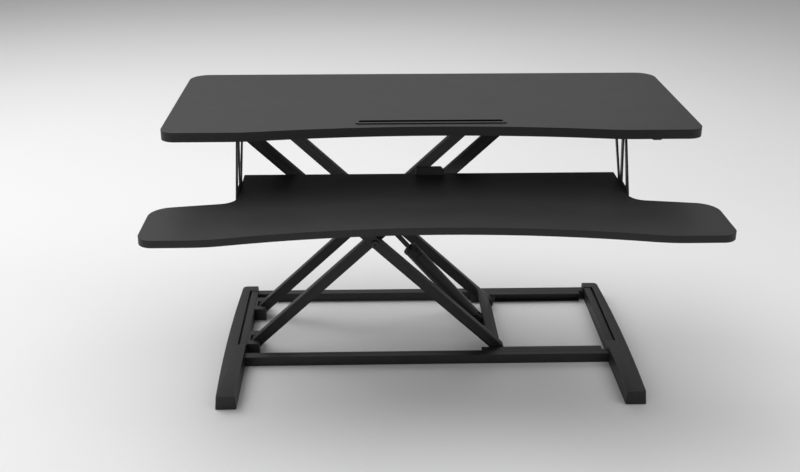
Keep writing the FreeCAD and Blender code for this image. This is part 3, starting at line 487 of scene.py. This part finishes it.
for board in ("desktop_board", "tray_board"):
    piece = refined(board, BOARD_ROUNDING, BOARD_SHARP)
    piece.data.materials.append(EDGE_BAND)
    piece.data.materials.append(SLOT_SHADE)
    for face in piece.data.polygons:
        # faces inside the slot take the near-black painted shade in place of the laminate
        if board == "desktop_board" and in_slot(face.center):
            face.material_index = 2
        elif abs(face.normal.z) < UPRIGHT:
            face.material_index = 1

ALONG_X = Vector((1, 0, 0))
ALONG_Y = Vector((0, 1, 0))
ALONG_Z = Vector((0, 0, 1))
# node, axis and half the width of the hexagon socket
bolts("centre_bolts", ALONG_Y, 2.5 * MM)
bolts("spring_top_bolts", ALONG_Y, 2.5 * MM)
bolts("foot_screws", ALONG_Z, 2.0 * MM)
bolts("frame_screws", ALONG_Z, 1.7 * MM)
bolts("hanger_screws", ALONG_Z, 1.7 * MM)
pin_with_ends("spring_foot_pin", ALONG_Y, True)
pin_with_ends("lever_pin", ALONG_X, False)


def gas_spring():
    """Painted cylinder with a rolled groove, a collar with a wiper lip, and the rod."""
    foot = (Vector(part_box("spring_foot_pin")[0]) + Vector(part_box("spring_foot_pin")[1])) / 2
    top = (Vector(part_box("spring_top_bolts")[0]) + Vector(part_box("spring_top_bolts")[1])) / 2
    axis = (top - foot).normalized()

    def reach(node):
        found = spans([vertex.co for vertex in NODES[node].data.vertices], foot, axis)
        return (min(step for step, _ in found) / MM, max(step for step, _ in found) / MM,
                max(radius for _, radius in found) / MM)

    low, high, radius = reach("spring_cylinder")
    lathe("spring_cylinder", foot, axis, [
        (low + 3, radius - 2), (low + 0.4, radius - 2), (low, radius - 2.4), (low + 0.2, radius - 3.4),
        (low, radius - 3.4), (low, radius - 1.6), (low + 0.5, radius - 0.6), (low + 1.6, radius),
        (high - 16, radius), (high - 15.3, radius - 0.9), (high - 14.2, radius - 0.9), (high - 13.5, radius),
        (high - 1.5, radius), (high - 0.4, radius - 0.5), (high, radius - 1.2), (high, radius - 2),
        (low + 3, radius - 2)], CYLINDER)
    low, high, radius = reach("spring_guide_cap")
    rod_low, rod_high, rod = reach("spring_rod")
    bore = rod + 0.05
    lathe("spring_guide_cap", foot, axis, [
        (low, bore), (low, 11.6), (low + 0.5, 12.1), (high - 9.2, 12.1), (high - 9.2, radius - 0.6),
        (high - 8.6, radius), (high - 3.4, radius), (high - 2.6, radius - 0.7), (high - 2.5, radius - 2.2),
        (high - 2.5, 9.2), (high - 2.2, 9), (high - 0.6, 8.6), (high, 7.8), (high, 6.4),
        (high - 0.8, bore + 0.2), (high - 0.8, bore), (low, bore)], PLASTIC)
    lathe("spring_rod", foot, axis, [
        (rod_low, 0), (rod_low, rod - 0.6), (rod_low + 0.6, rod), (rod_high - 0.6, rod),
        (rod_high, rod - 0.6), (rod_high, 0)])


def return_spring():
    """Coil of round wire around the lever's pin."""
    (low, high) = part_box("lever_return_spring")
    middle = (Vector(low) + Vector(high)) / 2
    wire = 0.55 * MM
    coil = (high[2] - low[2]) / 2 - wire
    start, end = low[0] + wire, high[0] - wire
    turns, per_turn, around = 4.5, 28, 8
    work = bmesh.new()
    rings = []
    total = int(turns * per_turn)
    for index in range(total + 1):
        share = index / total
        angle = 2 * math.pi * turns * share
        out = Vector((0, math.cos(angle), math.sin(angle)))
        centre = Vector((start + (end - start) * share, middle.y, middle.z)) + out * coil
        rings.append([work.verts.new(centre + (out * math.cos(2 * math.pi * k / around)
                                               + ALONG_X * math.sin(2 * math.pi * k / around)) * wire)
                      for k in range(around)])
    for first, second in zip(rings, rings[1:]):
        for k in range(around):
            work.faces.new((first[k], first[(k + 1) % around], second[(k + 1) % around], second[k]))
    work.faces.new(rings[0])
    work.faces.new(list(reversed(rings[-1])))
    made(work, "lever_return_spring", "lever_return_spring_coil", sharp=COIL_SHARP)


gas_spring()
return_spring()


# ------------------------------------------------------------------ studio
def area_light(name, at, aim, size, power):
    """Soft rectangular light pointed at a spot."""
    data = bpy.data.lights.new(name, "AREA")
    data.shape = "RECTANGLE"
    data.size, data.size_y = size
    data.energy = power
    lamp = bpy.data.objects.new(name, data)
    bpy.context.scene.collection.objects.link(lamp)
    lamp.location = at
    lamp.rotation_euler = (Vector(aim) - Vector(at)).to_track_quat("-Z", "Y").to_euler()
    return lamp


def studio():
    """Floor, lights, ambient light and the camera."""
    ground = bmesh.new()
    bmesh.ops.create_grid(ground, x_segments=8, y_segments=8, size=15)
    mesh = bpy.data.meshes.new("floor")
    ground.to_mesh(mesh)
    ground.free()
    floor = bpy.data.objects.new("floor", mesh)
    bpy.context.scene.collection.objects.link(floor)
    mesh.materials.append(make_floor())

    world = bpy.data.worlds.new("studio_air")
    bpy.context.scene.world = world
    world.use_nodes = True
    background = world.node_tree.nodes["Background"]
    background.inputs["Color"].default_value = (1, 1, 1, 1)
    background.inputs["Strength"].default_value = AIR_STRENGTH
    for name, (at, size, power) in LIGHTS.items():
        area_light(name, at, (0, 0, 0.2), size, power)
    bpy.context.scene.view_settings.view_transform = "Standard"

    camera_data = bpy.data.cameras.new("photo_view")
    camera_data.lens = CAMERA_LENS
    camera_data.sensor_width = 36
    camera = bpy.data.objects.new("photo_view", camera_data)
    camera.location = CAMERA_AT
    camera.rotation_euler = (math.radians(90 - CAMERA_DOWN), math.radians(CAMERA_ROLL),
                             math.radians(-CAMERA_TURN))
    bpy.context.scene.collection.objects.link(camera)
    bpy.context.scene.camera = camera


studio()
bpy.context.view_layer.update()
